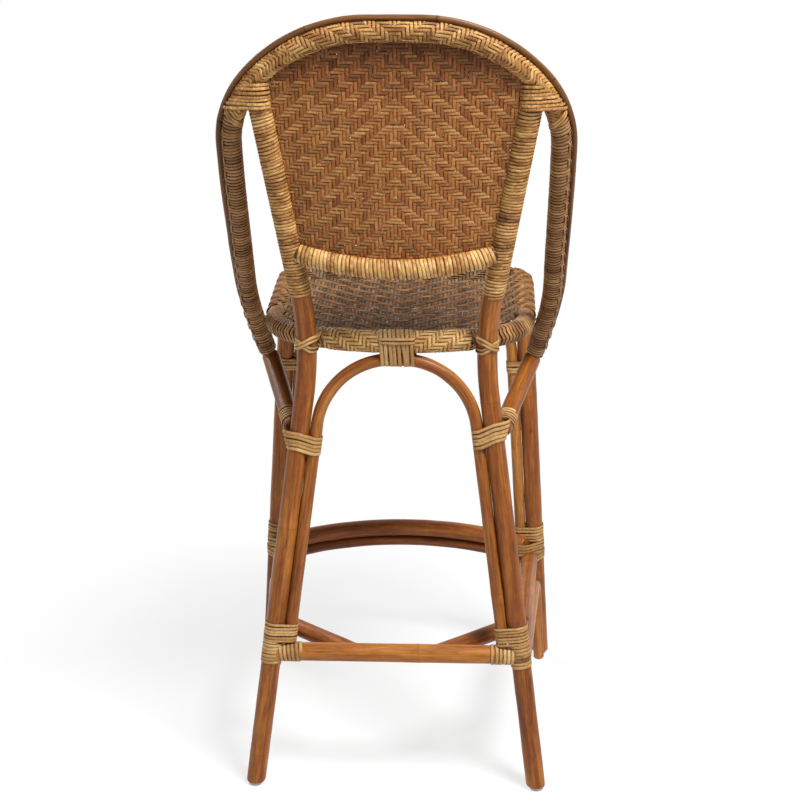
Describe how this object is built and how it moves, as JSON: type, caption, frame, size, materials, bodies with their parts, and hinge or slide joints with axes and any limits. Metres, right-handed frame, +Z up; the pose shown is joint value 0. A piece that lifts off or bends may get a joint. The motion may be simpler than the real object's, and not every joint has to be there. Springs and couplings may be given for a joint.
{
  "type": "bar stool with footrest",
  "caption": "Tall rattan bar stool with a woven hoop back, woven seat, splayed legs, cane lashings and a bowed double-pole footrest.",
  "frame": {"origin": "on the floor, midway between the stool's sides and midway between its rearmost and foremost points", "axes": "+Z up, the sitter faces -Y, +X toward the sitter's left"},
  "size_m": [0.525, 0.552, 1.1943],
  "materials": {
    "rattan_pole": "lacquered rattan pole, satin",
    "cane_strand": "split cane strands, wound and lashed, satin",
    "woven_cane": "woven split cane, satin",
    "nylon_glide": "pale moulded nylon",
    "steel_screw": "zinc plated steel"
  },
  "bodies": {
    "root": {"ankle_lashing_left": "cane_strand", "ankle_lashing_right": "cane_strand", "back_hoop": "rattan_pole", "back_panel": "woven_cane", "brace_wrap_left": "cane_strand", "brace_wrap_right": "cane_strand", "centre_tie": "cane_strand", "corner_brace_left": "rattan_pole", "corner_brace_right": "rattan_pole", "cross_rail": "rattan_pole", "foot_glides": "nylon_glide", "footrest_lashing_left": "cane_strand", "footrest_lashing_right": "cane_strand", "footrest_lower": "rattan_pole", "footrest_upper": "rattan_pole", "frame_screws": "steel_screw", "front_arch": "rattan_pole", "front_arch_lashing_left": "cane_strand", "front_arch_lashing_right": "cane_strand", "front_leg_left": "rattan_pole", "front_leg_right": "rattan_pole", "front_seat_slat": "rattan_pole", "hoop_brace_left": "rattan_pole", "hoop_brace_right": "rattan_pole", "hoop_rim": "rattan_pole", "hoop_wrap": "cane_strand", "lower_lashing_left": "cane_strand", "lower_lashing_right": "cane_strand", "lower_rail_lashing_left": "cane_strand", "lower_rail_lashing_right": "cane_strand", "main_lashing_left": "cane_strand", "main_lashing_right": "cane_strand", "post_wrap_left": "cane_strand", "post_wrap_right": "cane_strand", "rail_wrap": "cane_strand", "rear_arch": "rattan_pole", "rear_leg_left": "rattan_pole", "rear_leg_right": "rattan_pole", "rear_seat_slat": "rattan_pole", "rear_stretcher": "rattan_pole", "seat_panel": "woven_cane", "seat_rim_wrap": "woven_cane", "seat_ring": "rattan_pole", "seat_tie_left": "cane_strand", "seat_tie_right": "cane_strand", "shoulder_wrap_left": "cane_strand", "shoulder_wrap_right": "cane_strand", "side_runner_left": "rattan_pole", "side_runner_right": "rattan_pole", "side_stretcher_left": "rattan_pole", "side_stretcher_right": "rattan_pole", "stretcher_wrap_left": "cane_strand", "stretcher_wrap_right": "cane_strand"}
  },
  "joints": []
}
